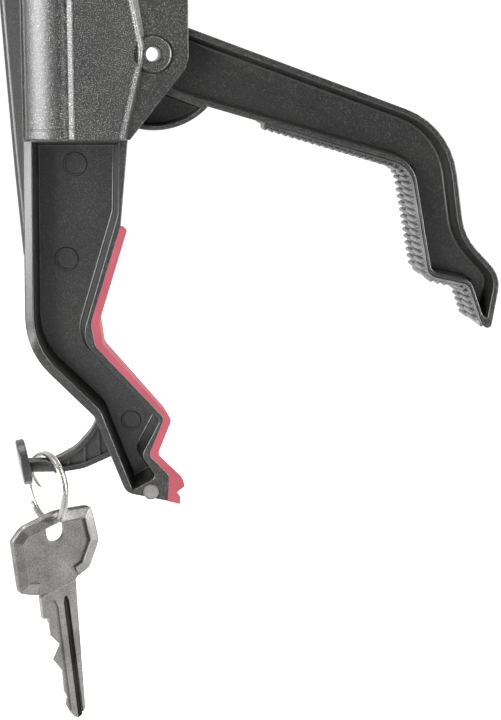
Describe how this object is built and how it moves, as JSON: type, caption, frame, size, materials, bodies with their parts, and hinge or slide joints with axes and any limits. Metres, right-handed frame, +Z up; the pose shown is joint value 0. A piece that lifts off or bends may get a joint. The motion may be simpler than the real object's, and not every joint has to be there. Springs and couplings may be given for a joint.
{
  "type": "reacher grabber",
  "caption": "Long-reach grabber with trigger handle, round shaft, padded clamping jaws, tip magnet and a dressing hook that carries a key on a split ring.",
  "frame": {"origin": "centre of the hanging eye in the handle", "axes": "+Z up along the shaft, jaws pointing down; +X towards the trigger and the moving jaw; -Y towards the viewer (cover side)"},
  "size_m": [0.1474, 0.0359, 0.6779],
  "materials": {
    "black_plastic": "fine-grained moulded plastic",
    "red_rubber": "matte soft rubber",
    "black_rubber": "matte rubber with fine teeth",
    "bright_steel": "plain bright steel",
    "nickel": "nickel plate with fine scratches",
    "magnet_steel": "satin ground metal",
    "aluminium": "satin anodised",
    "nylon": "natural nylon"
  },
  "bodies": {
    "frame": {"head_body": "black_plastic", "head_cover": "black_plastic", "jaw_pivot_pin": "black_plastic", "handle_front": "black_plastic", "handle_rear": "black_plastic", "shaft_collar": "black_plastic", "fixed_jaw_pad": "red_rubber", "grip_pad": "black_rubber", "head_screw_1": "bright_steel", "head_screw_2": "bright_steel", "tube_lock_screw": "bright_steel", "return_spring": "bright_steel", "hang_eyelet": "bright_steel", "handle_screw_1": "bright_steel", "handle_screw_2": "bright_steel", "handle_screw_3": "bright_steel", "handle_screw_4": "bright_steel", "trigger_pin": "bright_steel", "tip_magnet": "magnet_steel", "shaft_tube": "aluminium", "rod_guide_lower": "nylon", "rod_guide_upper": "nylon"},
    "jaw": {"moving_jaw": "black_plastic", "moving_jaw_pad": "black_rubber"},
    "rod": {"pull_rod": "bright_steel", "rod_clevis": "bright_steel", "clevis_pin": "bright_steel", "rod_fork": "bright_steel", "fork_pin": "bright_steel", "spring_collar": "nylon"},
    "lever": {"trigger": "black_plastic", "trigger_pad": "red_rubber"},
    "ring": {"key_ring": "nickel"},
    "hung_key": {"key": "nickel"}
  },
  "joints": [
    {"name": "trigger_pull", "type": "hinge", "parent": "frame", "child": "lever", "pos_m": [-0.018, 0, -0.05], "axis": [0, -1, 0], "range_deg": [0, 29.08]},
    {"name": "rod_slide", "type": "slide", "parent": "frame", "child": "rod", "axis": [0, 0, 1], "range_m": [0, 0.00934], "stiffness_N_per_m": 400, "springref_m": -0.01, "deforming": ["return_spring"]},
    {"name": "jaw_close", "type": "hinge", "parent": "frame", "child": "jaw", "pos_m": [0.027, 0, -0.472], "axis": [0, 1, 0], "range_deg": [0, 46]},
    {"name": "ring_swing", "type": "hinge", "parent": "frame", "child": "ring", "pos_m": [-0.0026, -0.004, -0.5811], "axis": [1, 0, 0], "range_deg": [-20, 20]},
    {"name": "key_swing", "type": "hinge", "parent": "ring", "child": "hung_key", "pos_m": [-0.0026, -0.004, -0.59685], "axis": [0.5299, -0.848, 0], "range_deg": [-20, 20]}
  ],
  "couplings": [
    {"joint": "trigger_pull", "follows": "rod_slide", "rad_per_m": 54.358},
    {"joint": "jaw_close", "follows": "rod_slide", "rad_per_m": 85.973}
  ]
}
